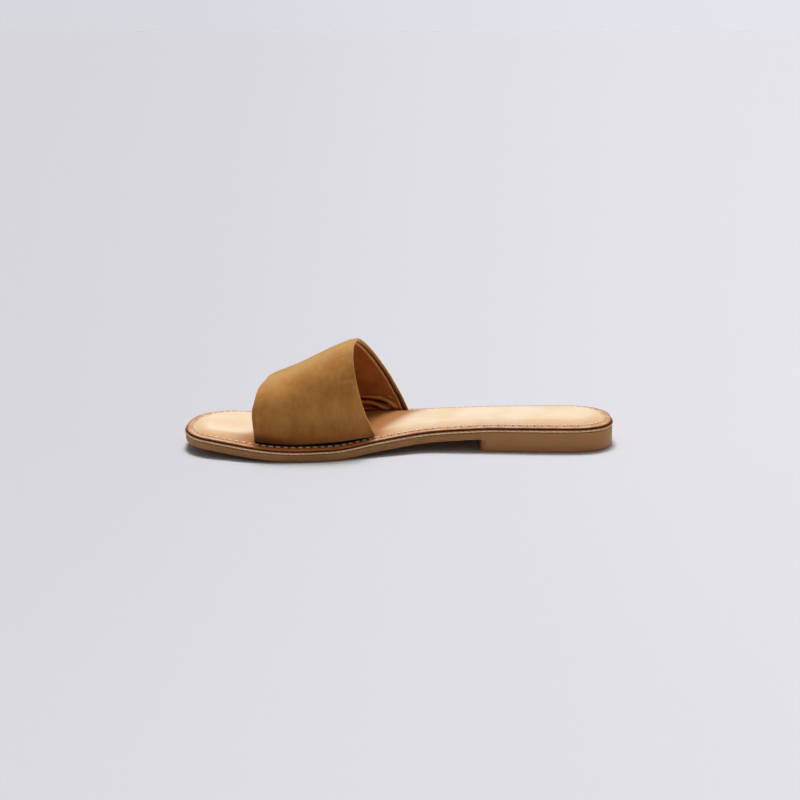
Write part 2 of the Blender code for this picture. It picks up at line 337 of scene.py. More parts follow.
def close_finish(places, colour, roughness, relief, relief_mm, fixed):
    """Ends a material: what varies is linked, and what is the same all over is set on the shader."""
    bump = {"Height": relief, "Strength": 1.0, "Distance": relief_mm * MM}
    normal = places.node("ShaderNodeBump", None, bump)
    values = {"Base Color": colour, "Roughness": roughness, "Normal": normal, **fixed}
    shader = places.node("ShaderNodeBsdfPrincipled", None, values)
    places.node("ShaderNodeOutputMaterial", None, {"Surface": shader})


def paint(red, green, blue):
    """A colour given as it looks on a screen, 0 to 255."""
    share = np.array([red, green, blue]) / 255
    linear = np.where(share <= 0.04045, share / 12.92, ((share + 0.055) / 1.055) ** 2.4)
    return (*linear.tolist(), 1.0)


def mark(places, name):
    """A value that the piece's mesh keeps for each of its points."""
    return places.node("ShaderNodeAttribute", {"attribute_name": name}, output="Fac")


def sole_top(along):
    return ground(along) + SOLE_THICK


def tread(along):
    """The face that meets the floor: the forepart's underside, then the heel block's."""
    into_heel = np.clip(along - BREAST_ALONG - BREAST_LEAN, 0.0, BREAST_ROUND)
    heel = BREAST_ROUND - np.sqrt(BREAST_ROUND**2 - (BREAST_ROUND - into_heel) ** 2)
    return np.where(along > BREAST_ALONG + BREAST_LEAN / 2, heel, ground(along))


RoundPlace = namedtuple("RoundPlace", "name along radius")
LOWER_ROUNDS = (
    RoundPlace("toe tip", 0.0, 1.5),
    RoundPlace("toes", 40.0, 1.3),
    RoundPlace("ball back", 100.0, 1.0),
    RoundPlace("shank", 150.0, 1.0),
    RoundPlace("heel back", LENGTH, 1.2),
)
lower_round = through(column(LOWER_ROUNDS, "along"), column(LOWER_ROUNDS, "radius"), level=True)


def corner_inset(along):
    """How far the heel block is drawn in where its front corners are rounded."""
    share = np.clip((along - BREAST_ALONG - BREAST_LEAN) / BREAST_CORNER, 0.0, 1.0)
    drawn_in = BREAST_CORNER * (1 - np.sqrt(1 - (1 - share) ** 2))
    return np.where(along > BREAST_ALONG + BREAST_LEAN / 2, drawn_in, 0.0)


def lower_edge(turn):
    """Inset and height of the rounded lower edge: turn runs from 0, under the sole, to 1, on its side."""
    angle = turn * math.pi / 2

    def inset_at(along):
        return SOLE_INSET + lower_round(along) * (1 - math.sin(angle)) + corner_inset(along)

    def height_at(along):
        return tread(along) + lower_round(along) * (1 - math.cos(angle))

    return inset_at, height_at


def plate_base(along):
    """Lower edge of the sole plate's side, where the heel block ends."""
    return np.maximum(tread(along) + lower_round(along), np.where(along > BREAST_ALONG, ground(along), 0.0))


# Stations of the sole's rings along the shoe
BALL_BACK = 100.0
END_STATIONS = 60
BALL_STATIONS = 95
WAIST_STATIONS = 96
HEEL_STATIONS = 58
BREAST_STEPS = (0.0, 0.05, 0.15, 0.3, 0.5, 0.75)
BREAST_CLEAR = 0.8


def sole_shares(edge):
    """Shares of one edge that put stations on both edges of the heel's front face, straight across."""
    breast = BREAST_ALONG + BREAST_LEAN + np.array(BREAST_STEPS)
    body = np.concatenate(
        [
            np.linspace(edge.toe_round, BALL_BACK, BALL_STATIONS, endpoint=False),
            np.linspace(BALL_BACK, BREAST_ALONG, WAIST_STATIONS),
            breast,
            np.linspace(breast[-1] + BREAST_CLEAR, LENGTH - HEEL_ROUND, HEEL_STATIONS),
        ]
    )
    body_shares = np.interp(body, (edge.toe_round, LENGTH - HEEL_ROUND), (TOE_SHARE, 1 - HEEL_SHARE))
    toe = np.linspace(0, TOE_SHARE, END_STATIONS, endpoint=False)
    heel = np.linspace(1 - HEEL_SHARE, 1, END_STATIONS + 1)[1:]
    return np.concatenate([toe, body_shares, heel])


GROOVE_PITCH = 5.6
GROOVE_DEPTH = 0.6
GROOVE_SWING = 1.6
GROOVE_WAVE = 5.0
# Levels of the wave across the grooves: where one begins, and how far on it has its full depth
GROOVE_START = 0.25
GROOVE_WALL = 0.6
# Where the grooves fade out
GROOVE_EDGE = 7.0
EDGE_FADE = 2.0
FIELD_FADE = 4.0
TREAD_FIELDS = ((34.0, 104.0), (190.0, 244.0))


def groove_depth(along, side, from_edge):
    """Waved grooves across the ball and the heel, which fade out before the edge."""
    wave = np.cos(2 * np.pi * (along + GROOVE_SWING * np.sin(side / GROOVE_WAVE)) / GROOVE_PITCH)
    field = sum(
        smooth_step((along - front) / FIELD_FADE) * smooth_step((back - along) / FIELD_FADE)
        for front, back in TREAD_FIELDS
    )
    edge_fade = smooth_step((from_edge - GROOVE_EDGE) / EDGE_FADE)
    return GROOVE_DEPTH * smooth_step((wave - GROOVE_START) / GROOVE_WALL) * field * edge_fade


INSET_REACH = 4.0


def loop_with_varying_inset(shares, inset_at, height_at):
    """A ring whose inset changes along the shoe, read between two loops of a fixed inset."""
    near = round_loop(shares, 0.0)
    inset = inset_at(near[:, 0])
    low = round_loop(shares, SOLE_INSET)
    deep = round_loop(shares, SOLE_INSET + INSET_REACH)
    flat = low + (deep - low) * ((inset - SOLE_INSET) / INSET_REACH)[:, None]
    return np.column_stack([flat, height_at(flat[:, 0])])


# Height and blur of the painted highlight strip along the heel's lowest edge
HIGHLIGHT_STRIP_HEIGHT = 1.5
HIGHLIGHT_STRIP_BLUR = 0.2

rubber, places = new_finish("brown_rubber")
height = places.part(2)
behind_breast = places.part(0).between(BREAST_ALONG - LENGTH / 2, BREAST_ALONG - LENGTH / 2 + 1)
above_highlight_strip = height.between(HIGHLIGHT_STRIP_HEIGHT - HIGHLIGHT_STRIP_BLUR, HIGHLIGHT_STRIP_HEIGHT + HIGHLIGHT_STRIP_BLUR)
heel_highlight_strip = behind_breast * (1 - above_highlight_strip)
cloud = places.grain(14.0)
speck = places.grain(0.7, 2.0)
tone = cloud.between(0.3, 0.7).blend(paint(166, 115, 67), paint(180, 127, 77))
# Painted light: the heel block is painted lighter than the sole plate, standing in for light on the heel.
tone = (behind_breast * 0.6).blend(tone, paint(196, 138, 86))
# Painted highlight: the heel's lowest strip is painted paler still, for light caught from the floor.
tone = (heel_highlight_strip * 0.5).blend(tone, paint(216, 150, 94))
close_finish(
    places,
    tone,
    0.42 + 0.16 * speck,
    speck + 0.5 * places.grain(2.5),
    0.05,
    {"Specular IOR Level": 0.25},
)

LOWER_ROUND_RINGS = 7
TOP_ROUND = 0.35
TOP_ROUND_STEP = 0.1
SOLE_COLUMNS = 64
FLAT_COLUMNS = 6
PLAIN_EDGE = 0.5
SHORTEST_RUNG = 2.0

shares = (sole_shares(MEDIAL), sole_shares(LATERAL))
sole_rings = []
for turn in np.linspace(0, 1, LOWER_ROUND_RINGS):
    sole_rings.append(loop_with_varying_inset(shares, *lower_edge(turn)))
sole_rings.append(
    loop_with_varying_inset(shares, lambda along: SOLE_INSET + corner_inset(along), plate_base)
)
side_base = ring(shares, SOLE_INSET, plate_base)
sole_rings.append(side_base)
side_top = ring(shares, SOLE_INSET, lambda along: sole_top(along) - TOP_ROUND)
for share in (0.2, 0.4, 0.6, 0.8):
    sole_rings.append(side_base + (side_top - side_base) * share)
sole_rings.append(side_top)
sole_rings.append(ring(shares, SOLE_INSET + TOP_ROUND_STEP, lambda along: sole_top(along) - TOP_ROUND_STEP))
sole_rings.append(ring(shares, SOLE_INSET + TOP_ROUND, sole_top))
sole_rings.append(ring(shares, WELT_WIDTH + GAP, sole_top))
sole_rings.append(ring(shares, WELT_WIDTH + 2 * GAP, lambda along: sole_top(along) + WELT_THICK + GAP))

count = len(shares[0])
bottom_medial = sole_rings[0][:count, None]
bottom_lateral = np.concatenate([sole_rings[0][:1], sole_rings[0][: count - 2 : -1]])[:, None]
across = np.linspace(0, 1, SOLE_COLUMNS + 1)[None, :, None]
underside = bottom_medial + (bottom_lateral - bottom_medial) * across
rung_length = np.linalg.norm(bottom_lateral - bottom_medial, axis=-1)
from_edge = np.minimum(across[..., 0], 1 - across[..., 0]) * rung_length
inner = (from_edge > PLAIN_EDGE) & (rung_length > SHORTEST_RUNG)
plain_height = tread(underside[..., 0])
grooves = groove_depth(underside[..., 0], underside[..., 1], from_edge)
underside[..., 2] = np.where(inner, plain_height + grooves, underside[..., 2])

seat = rungs(shares, WELT_WIDTH + 2 * GAP, FLAT_COLUMNS)
seat = np.dstack([seat, sole_top(seat[..., 0]) + WELT_THICK + GAP])
outsole = add_piece(
    "moulded_outsole",
    [(np.array(sole_rings), True), (underside, False), (seat, False)],
    rubber,
    sharp=40.0,
)
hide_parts("outsole")

# Welt
# A pale strip of leather-like cord laid on the sole's ledge all the way round. Its outer edge is a round
# bead with slanting marks rolled into it, so that it looks like a twisted rope.
ROPE_PITCH = 3.4
ROPE_DEPTH = 0.14
ROPE_SLANT = 0.9
STRAND_FULLNESS = 0.7
BEAD_ROUND = WELT_THICK / 2
BEAD_POINTS = 11
WELT_STATIONS = 740
DENSE_POINTS = 6001


def even_shares(inset, count):
    """Shares of both edges that put the same count of even steps along each, at an inset."""
    dense = np.linspace(0, 1, DENSE_POINTS)
    found = []
    for edge in (MEDIAL, LATERAL):
        line = edge_line(dense, inset, edge)
        run = np.concatenate([[0], np.cumsum(np.linalg.norm(np.diff(line, axis=0), axis=1))])
        found.append(np.interp(np.linspace(0, run[-1], count + 1), run, dense))
    return found


def loop_run(flat):
    """Distance round a closed loop at each of its points, and its whole length."""
    steps = np.linalg.norm(np.diff(np.concatenate([flat, flat[:1]]), axis=0), axis=1)
    return np.concatenate([[0], np.cumsum(steps)[:-1]]), steps.sum()


def welt_base(along):
    return sole_top(along) + GAP


shares = even_shares(0.0, WELT_STATIONS)
run, whole = loop_run(round_loop(shares, 0.0))
rope_turns = round(whole / ROPE_PITCH)
bead_rings = [ring(shares, WELT_WIDTH, welt_base)]
bead_marks = [np.ones(len(run))]
bead_turns = [np.full(len(run), -90.0)]
outer = round_loop(shares, 0.0)
inner = round_loop(shares, BEAD_ROUND * 2)
for angle in np.linspace(-np.pi / 2, np.pi / 2, BEAD_POINTS):
    phase = run / whole * rope_turns + angle / np.pi * ROPE_SLANT
    strand = np.abs(np.sin(np.pi * phase)) ** STRAND_FULLNESS
    dip = ROPE_DEPTH * (1 - strand) * math.cos(angle) ** 0.5
    inset_share = (BEAD_ROUND - (BEAD_ROUND - dip) * math.cos(angle)) / (BEAD_ROUND * 2)
    flat = outer + (inner - outer) * inset_share[:, None]
    rise = BEAD_ROUND + (BEAD_ROUND - dip * 0.5) * math.sin(angle)
    bead_rings.append(np.column_stack([flat, welt_base(flat[:, 0]) + rise]))
    bead_marks.append(strand)
    bead_turns.append(np.full(len(run), math.degrees(angle)))
bead_rings.append(ring(shares, WELT_WIDTH, lambda along: welt_base(along) + WELT_THICK))
bead_marks.append(np.ones(len(run)))
bead_turns.append(np.full(len(run), 90.0))
bead_rings.append(bead_rings[0])
bead_marks.append(bead_marks[0])
bead_turns.append(bead_turns[0])

cord, places = new_finish("roped_welt")
strand_top = mark(places, "strand")
fibre = places.grain(0.5, 3.0)
# Painted shade: the rope is painted darker between its strands.
tone = strand_top.between(0.05, 0.7).blend(paint(202, 156, 98), paint(248, 220, 170))
tone = (places.grain(9.0).between(0.35, 0.75) * 0.4).blend(tone, paint(206, 160, 104))
# Painted shade: the upper part of the bead is painted dark brown, for the shadowed line between the rim and
# the bead.
tone = mark(places, "turn").between(18.0, 52.0).blend(tone, paint(112, 60, 24))
close_finish(places, tone, 0.6 + 0.2 * fibre, fibre, 0.04, {"Specular IOR Level": 0.3})
bead_values = {"strand": [np.array(bead_marks)], "turn": [np.array(bead_turns)]}
welt = add_piece("roped_welt_strip", [(np.array(bead_rings), True)], cord, bead_values)
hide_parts("welt")

# Insole board
# A thin board covered in smooth brown leather. Its rim shows between the bead and the stitching: tan on
# top, burnished dark along its cut edge, and undercut so that a dark line parts it from the bead.
INSOLE_INSET = 0.9
INSOLE_THICK = 0.8
BOARD_STATIONS = 330

BoardRow = namedtuple("BoardRow", "inset rise")
BOARD_PROFILE = (
    BoardRow(INSOLE_INSET + 0.70, 0.00),
    BoardRow(INSOLE_INSET + 0.50, 0.20),
    BoardRow(INSOLE_INSET + 0.22, 0.30),
    BoardRow(INSOLE_INSET + 0.05, 0.40),
    BoardRow(INSOLE_INSET + 0.00, 0.52),
    BoardRow(INSOLE_INSET + 0.05, 0.64),
    BoardRow(INSOLE_INSET + 0.18, 0.74),
    BoardRow(INSOLE_INSET + 0.40, 0.79),
    BoardRow(INSOLE_INSET + 0.80, 0.80),
    BoardRow(INSOLE_INSET + 2.00, 0.80),
    BoardRow(INSOLE_INSET + 3.50, 0.79),
    BoardRow(INSOLE_INSET + 5.50, 0.77),
    BoardRow(INSOLE_INSET + 7.00, 0.77),
)


def insole_base(along):
    return welt_base(along) + WELT_THICK + GAP


def insole_top(along):
    return insole_base(along) + INSOLE_THICK


shares = even_shares(INSOLE_INSET, BOARD_STATIONS)
board_rings = [
    ring(shares, row.inset, lambda along, rise=row.rise: insole_base(along) + rise) for row in BOARD_PROFILE
]
board_edges = [np.full(len(board_rings[0]), row.inset) for row in BOARD_PROFILE]
board_caps = []
for row in (BOARD_PROFILE[0], BOARD_PROFILE[-1]):
    cap = rungs(shares, row.inset, FLAT_COLUMNS)
    board_caps.append(np.dstack([cap, insole_base(cap[..., 0]) + row.rise]))
    board_edges.append(np.full(cap.shape[:2], row.inset))

BAND_LEAD = 22.0
BOUNCE_GLOW_STARTS = (-72.0, -58.0)
BOUNCE_GLOW_ENDS = (-6.0, 6.0)

rim, places = new_finish("brown_rim_leather")
edge = mark(places, "edge")
pore = places.grain(0.6, 4.0)
cloud = places.grain(7.0)
tone = cloud.between(0.3, 0.7).blend(paint(212, 154, 110), paint(232, 188, 152))
darker_edge = 1 - (edge + cloud * 1.2 - 0.6).between(1.0, 2.4)
tone = darker_edge.blend(tone, paint(150, 74, 28))
# Painted light: beside the band the rim is painted bright orange, as warm bounce light in the band's shade.
# The band stands further forward on the medial side.
medial = 1 - places.part(1).between(-20.0, 0.0)
from_band = places.part(0) + BAND_LEAD * medial
beside_band = from_band.between(*BOUNCE_GLOW_STARTS) * (1 - from_band.between(*BOUNCE_GLOW_ENDS))
tone = (beside_band * (0.25 + 0.5 * medial)).blend(tone, paint(226, 122, 34))
close_finish(places, tone, 0.36 + 0.2 * pore, pore, 0.05, {"Specular IOR Level": 0.25})
board = add_piece(
    "insole_board",
    [(np.array(board_rings), True), (board_caps[0], False), (board_caps[1], False)],
    rim,
    {"edge": board_edges},
)
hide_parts("insole")

# Footbed
# A sock of pale natural leather over thin foam, glued on the board and sewn down near its edge. The
# stitching pulls it into a shallow trough, its edge is painted orange-brown, partly as burnish and partly as
# painted shade, and a slot on each side takes an end of the band.
FOOTBED_INSET = 5.0
STITCH_INSET = 5.8
SIDE_STITCHES = 66
STATIONS_PER_STITCH = 8
TROUGH_DEPTH = 0.16
TROUGH_WIDTH = 0.6
HOLE_DEPTH = 0.2
HOLE_WIDTH = 0.4
BED_SINK = 0.1
BED_LIFT = 0.02
LEAST_RISE = 0.1
BAND_INSET = 8.0
BAND_THICK = 2.6
SLOT_END_ROOM = 0.4
SLOT_END_SLOPE = 0.4
SLOT_SIDE_SLOPE = 0.06
SLOT_PULL = 0.8
SLOT_PULL_REACH = 2.2

BandPlace = namedtuple("BandPlace", "name over front rear")
BAND_PLACES = (
    BandPlace("medial foot", 0.000, 43.4, 113.0),
    BandPlace("medial side", 0.125, 42.1, 106.0),
    BandPlace("medial haunch", 0.250, 43.6, 102.0),
    BandPlace("medial shoulder", 0.375, 45.0, 100.7),
    BandPlace("crest", 0.500, 48.2, 101.8),
    BandPlace("lateral shoulder", 0.625, 53.2, 105.6),
    BandPlace("lateral haunch", 0.750, 58.0, 113.4),
    BandPlace("lateral side", 0.875, 61.5, 123.8),
    BandPlace("lateral foot", 1.000, 64.0, 134.1),
)

CrownRow = namedtuple("CrownRow", "name inset rise")
CROWN_ROWS = (
    CrownRow("cut edge", FOOTBED_INSET, 0.12),
    CrownRow("rounded edge", 5.4, 0.30),
    CrownRow("stitching", STITCH_INSET, 0.38),
    CrownRow("inside the stitching", 7.0, 0.75),
    CrownRow("slot", 8.5, 1.40),
    CrownRow("shoulder", 13.0, 2.38),
    CrownRow("middle", 20.0, 2.42),
)
crown = through(column(CROWN_ROWS, "inset"), column(CROWN_ROWS, "rise"), level=True)


def slot_share(along, inset, foot):
    """1 inside the slot for one end of the band, 0 outside it."""
    along_in = smooth_step((along - foot.front + SLOT_END_ROOM) / SLOT_END_SLOPE)
    along_in = along_in * smooth_step((foot.rear + SLOT_END_ROOM - along) / SLOT_END_SLOPE)
    inset_in = smooth_step((inset - BAND_INSET + GAP) / SLOT_SIDE_SLOPE)
    inset_out = smooth_step((BAND_INSET + BAND_THICK + GAP - inset) / SLOT_SIDE_SLOPE)
    return along_in * inset_in * inset_out


def slot_pull(along, inset, foot):
    """How far the leather round a slot is drawn down with the band."""
    past_end = np.maximum(foot.front - along, along - foot.rear)
    past_side = np.maximum(BAND_INSET - inset, inset - BAND_INSET - BAND_THICK)
    away = np.hypot(np.maximum(past_end, 0.0), np.maximum(past_side, 0.0))
    return SLOT_PULL * np.exp(-((away / SLOT_PULL_REACH) ** 2))


def footbed_rise(along, inset, foot, sew):
    """Height of the leather over the board. Sew is 1 at a needle hole and 0 between two."""
    rise = crown(inset)
    on_row = np.exp(-(((inset - STITCH_INSET) / TROUGH_WIDTH) ** 2))
    rise = rise - TROUGH_DEPTH * on_row - HOLE_DEPTH * on_row**3 * sew
    rise = np.maximum(rise - slot_pull(along, inset, foot), LEAST_RISE)
    return rise * (1 - slot_share(along, inset, foot)) + BED_LIFT


shares = even_shares(STITCH_INSET, SIDE_STITCHES * STATIONS_PER_STITCH)
half = len(shares[0])
station = np.concatenate([np.arange(half), np.arange(half)[-2:0:-1]])
sew = np.maximum(np.cos(2 * np.pi * station / STATIONS_PER_STITCH), 0.0) ** 2
# Rings of the footbed, closest at its edge, its stitching and both sides of the slots
FOOTBED_INSETS = (
    5.0, 5.06, 5.2, 5.4, 5.6, 5.8, 6.0, 6.2, 6.45, 6.8, 7.2, 7.5, 7.66, 7.74,
    8.5, 9.3, 10.1, 10.86, 10.94, 11.2, 11.7, 12.3, 13.0, 14.0,
)  # fmt: skip
on_medial = np.arange(len(station)) < half


def footbed_ring(inset):
    flat = round_loop(shares, inset)
    medial = footbed_rise(flat[:, 0], inset, BAND_PLACES[0], sew)
    lateral = footbed_rise(flat[:, 0], inset, BAND_PLACES[-1], sew)
    return np.column_stack([flat, insole_top(flat[:, 0]) + np.where(on_medial, medial, lateral)])


# Reach of the painted shade round the band, behind it and before it
BAND_SHADE_BEHIND = 8.0
BAND_SHADE_BEFORE = 4.0
BAND_SHADE_BEFORE_MEDIAL = 8.0


def band_shade_share(along, share):
    """Share of painted shade: 1 under the band and just behind it, at a share of the way from the medial to
    the lateral edge.
    """
    front = BAND_PLACES[0].front + (BAND_PLACES[-1].front - BAND_PLACES[0].front) * share
    rear = BAND_PLACES[0].rear + (BAND_PLACES[-1].rear - BAND_PLACES[0].rear) * share
    behind = np.maximum(along - rear, 0.0) / BAND_SHADE_BEHIND
    reach_before = BAND_SHADE_BEFORE + BAND_SHADE_BEFORE_MEDIAL * (1 - share) ** 5
    before = np.maximum(front - along, 0.0) / reach_before
    return np.exp(-(behind**2) - before**2)


bed_rings = [ring(shares, FOOTBED_INSET, lambda along: insole_top(along) - BED_SINK)]
bed_rings += [footbed_ring(inset) for inset in FOOTBED_INSETS]
bed_edges = [np.full(len(station), inset) for inset in (FOOTBED_INSET, *FOOTBED_INSETS)]
bed_band_shade = [band_shade_share(points[:, 0], np.where(on_medial, 0.0, 1.0)) for points in bed_rings]
bed_holes = [np.zeros(len(station))]
bed_holes += [sew * math.exp(-(((inset - STITCH_INSET) / HOLE_WIDTH) ** 2)) for inset in FOOTBED_INSETS]

BED_COLUMNS = 36
BED_FLOOR_COLUMNS = 4
Hollow = namedtuple("Hollow", "name along reach edge_fade depth")
HOLLOWS = (
    Hollow("heel", 214.0, 22.0, 12.0, 0.35),
    Hollow("ball", 78.0, 26.0, 16.0, 0.25),
)

bed_top = rungs(shares, FOOTBED_INSETS[-1], BED_COLUMNS)
top_along = bed_top[..., 0]
top_width = np.linalg.norm(bed_top[:, -1] - bed_top[:, 0], axis=1)[:, None]
top_share = np.linspace(0, 1, BED_COLUMNS + 1)[None, :]
top_inset = FOOTBED_INSETS[-1] + np.minimum(top_share, 1 - top_share) * top_width
top_rise = crown(top_inset) + BED_LIFT
for hollow in HOLLOWS:
    worn_in = np.exp(-(((top_along - hollow.along) / hollow.reach) ** 2))
    worn_in = worn_in * smooth_step((top_inset - FOOTBED_INSETS[-1]) / hollow.edge_fade)
    top_rise = top_rise - hollow.depth * worn_in
medial_pull = slot_pull(top_along, top_inset, BAND_PLACES[0])
lateral_pull = slot_pull(top_along, top_inset, BAND_PLACES[-1])
top_rise = top_rise - np.where(top_share < 0.5, medial_pull, lateral_pull)
bed_top = np.dstack([bed_top, insole_top(top_along) + top_rise])
bed_floor = rungs(shares, FOOTBED_INSET, BED_FLOOR_COLUMNS)
bed_floor = np.dstack([bed_floor, insole_top(bed_floor[..., 0]) - BED_SINK])

natural, places = new_finish("natural_leather")
edge = mark(places, "edge")
hole = mark(places, "hole")
cloud = places.grain(22.0, 2.0)
pore = places.grain(0.45, 4.0, 0.6)
wrinkle = places.grain(2.2, 4.0)
tone = cloud.between(0.3, 0.7).blend(paint(250, 220, 182), paint(255, 234, 206))
# Toward its edge the footbed is painted orange-brown: partly burnish, and partly painted shade, much
# stronger on the medial side.
inner_side = 1 - places.part(1).between(-34.0, 8.0)
darker_edge = 1 - (edge * (1 - 0.25 * inner_side) + 5.0 * (cloud - 0.5)).between(4.0, 16.0)
tone = (darker_edge * (0.2 + 0.65 * inner_side)).blend(tone, paint(226, 160, 88))
# Painted shade: golden brown under the band, just behind it and before it on the medial side, where its
# shadow and warm bounce fall.
tone = (mark(places, "band_shade") * 0.9).blend(tone, paint(176, 104, 22))
# Painted shade: the needle holes are painted dark brown.
tone = (hole.between(0.3, 0.7) * 0.7).blend(tone, paint(96, 50, 18))
close_finish(
    places,
    tone,
    0.46 + 0.18 * pore,
    pore * 0.6 + wrinkle * 0.4,
    0.07,
    {"Specular IOR Level": 0.2},
)
footbed = add_piece(
    "leather_footbed",
    [(np.array(bed_rings), True), (bed_top, False), (bed_floor, False)],
    natural,
    {
        "edge": [np.array(bed_edges), top_inset, np.full(bed_floor.shape[:2], FOOTBED_INSET)],
        "hole": [np.array(bed_holes), np.zeros(bed_top.shape[:2]), np.zeros(bed_floor.shape[:2])],
        "band_shade": [np.array(bed_band_shade), band_shade_share(top_along, top_share), np.zeros(bed_floor.shape[:2])],
    },
)
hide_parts("footbed")

# Stitching
# Cream two-ply thread sewn through the footbed and the board all the way round. Each stitch is a short
# twisted hump that dives into a needle hole at both of its ends.
STITCH_LENGTH = 3.0
THREAD_ROUND = 0.50
STITCH_STEPS = 11
THREAD_SIDES = 10
PLY_TURNS = 1.6
PLY_DEPTH = 0.16
THREAD_WIDE = 1.1
THREAD_FLAT = 0.85
THREAD_TAPER = 0.75
HUMP_RISE = 0.26
HUMP_DIVE = 0.4
STITCH_SLANT = 0.09
# Stitches differ a little from each other, by a sine of their place in the row
WOBBLE_TURN = 2.399
WOBBLE_SLANT = 0.04
WOBBLE_GIRTH = 0.05

row_line = round_loop(shares, STITCH_INSET)
row_line = np.column_stack([row_line, np.zeros(len(row_line))])
row_line[:, 2] = footbed_ring(STITCH_INSET)[:, 2] + HOLE_DEPTH * sew
row_count = len(row_line)
stitch_grids = []
stitch_turn = np.linspace(0, 2 * np.pi, THREAD_SIDES, endpoint=False)
for middle in range(STATIONS_PER_STITCH // 2, row_count, STATIONS_PER_STITCH):
    centre = row_line[middle]
    run_way = row_line[(middle + 2) % row_count] - row_line[middle - 2]
    run_way = run_way / np.linalg.norm(run_way)
    across_way = np.cross((0.0, 0.0, 1.0), run_way)
    across_way = across_way / np.linalg.norm(across_way)
    up_way = np.cross(run_way, across_way)
    wobble = math.sin(middle * WOBBLE_TURN)
    run_way = run_way + across_way * (STITCH_SLANT + WOBBLE_SLANT * wobble)
    rows = []
    for step in range(STITCH_STEPS):
        share = step / (STITCH_STEPS - 1)
        lean = 2 * share - 1
        hump = HUMP_RISE * (1 - lean**2) - HUMP_DIVE * abs(lean) ** 5
        girth = THREAD_ROUND * (1 - THREAD_TAPER * abs(lean) ** 6) * (1 + WOBBLE_GIRTH * wobble)
        ply = 1 + PLY_DEPTH * np.cos(2 * (stitch_turn - PLY_TURNS * np.pi * share))
        offset = np.outer(np.cos(stitch_turn) * ply, across_way) * THREAD_WIDE
        offset = offset + np.outer(np.sin(stitch_turn) * ply, up_way) * THREAD_FLAT
        spine = centre + run_way * lean * STITCH_LENGTH / 2 + up_way * hump
        rows.append(spine + offset * girth)
    stitch_grids.append((np.array(rows), True))

thread, places = new_finish("cream_thread")
fibre = places.grain(0.25, 2.0)
tone = fibre.between(0.3, 0.7).blend(paint(250, 234, 200), paint(255, 246, 222))
close_finish(places, tone, 0.6 + 0.2 * fibre, fibre, 0.05, {"Specular IOR Level": 0.3})
add_piece("footbed_stitching", stitch_grids, thread, sharp=80.0)

# Band
# One wide strap of tan suede over thin padding. Its edges are turned under and rolled round, its two ends
# go down through the footbed's slots to the board, and its nap shows clouds, scuffs and a few creases.
EDGE_DROP = 0.55
EDGE_DROP_WIDTH = 7.0
HEM_WIDTH = 2.6
HEM_LEAD = 0.5
HEM_TAIL = 0.35
HEM_STEP = 0.7
HEM_EASE = 0.12
FOOT_CLEAR = 0.1
FOOT_CROWDING = 1.7
BAND_BULGE = 2.6
BAND_BULGE_RISE = 9.0
BAND_SWELL = 1.6
SWELL_LEAN = 2.5
SLOT_DEPTH = 2.8
VAMP_HEIGHT = 32.2
INSTEP_HEIGHT = 56.0
OVER_STEPS = 236
OUTER_ROWS = 84
INNER_ROWS = 34
INNER_MARGIN = 0.08
ROLL_POINTS = 8

BandArch = namedtuple("BandArch", "crest_side crest_rise medial_square lateral_square")
FRONT_ARCH = BandArch(-4.0, VAMP_HEIGHT, 3.3, 2.6)
REAR_ARCH = BandArch(-6.0, INSTEP_HEIGHT, 2.2, 2.05)

overs = column(BAND_PLACES, "over")
front_along = through(overs, column(BAND_PLACES, "front"))
rear_along = through(overs, column(BAND_PLACES, "rear"))


def between(front, rear, across):
    return front + (rear - front) * across


def band_face(across, over):
    """Outer face of the band: across runs from its front edge to its rear, over from medial to lateral."""
    arch = BandArch(*(between(front, rear, across) for front, rear in zip(FRONT_ARCH, REAR_ARCH)))
    medial = over < 0.5
    sign = np.where(medial, -1, 1)
    square = np.where(medial, arch.medial_square, arch.lateral_square)
    climb = np.minimum(2 * over, 2 - 2 * over)
    up = np.sin(climb * np.pi / 2) ** (2 / square)
    out = np.maximum(np.cos(climb * np.pi / 2), 0.0) ** (2 / square)
    along = between(front_along(over), rear_along(over), across)
    crest_along = between(front_along(0.5), rear_along(0.5), across)
    foot_over = np.where(medial, 0.0, 1.0)
    foot_along = between(front_along(foot_over), rear_along(foot_over), across)
    foot_height = insole_top(foot_along) + GAP + FOOT_CLEAR
    swell = BAND_SWELL * np.sin(np.pi * across**SWELL_LEAN)
    rise = (insole_top(crest_along) + arch.crest_rise + swell - foot_height) * up
    bulge = BAND_BULGE * smooth_step((rise - SLOT_DEPTH) / BAND_BULGE_RISE)
    medial_foot = edge_side(along, BAND_INSET, MEDIAL)
    lateral_foot = edge_side(along, BAND_INSET, LATERAL)
    foot_side = np.where(medial, medial_foot, lateral_foot) + sign * bulge
    side = between(arch.crest_side, foot_side, out)
    return np.stack([along, side, foot_height + rise], axis=-1)


def unit(vectors):
    return vectors / np.linalg.norm(vectors, axis=-1, keepdims=True)


# Even steps over the arch, measured half way between the two edges
GIRTH_POINTS = 8001
lean = np.linspace(-1, 1, GIRTH_POINTS)
dense_over = 0.5 + 0.5 * np.sign(lean) * np.abs(lean) ** FOOT_CROWDING
dense_line = band_face(np.full(dense_over.shape, 0.5), dense_over)
girth_run = np.concatenate([[0], np.cumsum(np.linalg.norm(np.diff(dense_line, axis=0), axis=1))])
girth = np.linspace(0, girth_run[-1], OVER_STEPS + 1)
even_over = np.interp(girth, girth_run, dense_over)
widths = np.linalg.norm(
    band_face(np.ones(OVER_STEPS + 1), even_over) - band_face(np.zeros(OVER_STEPS + 1), even_over), axis=-1
)

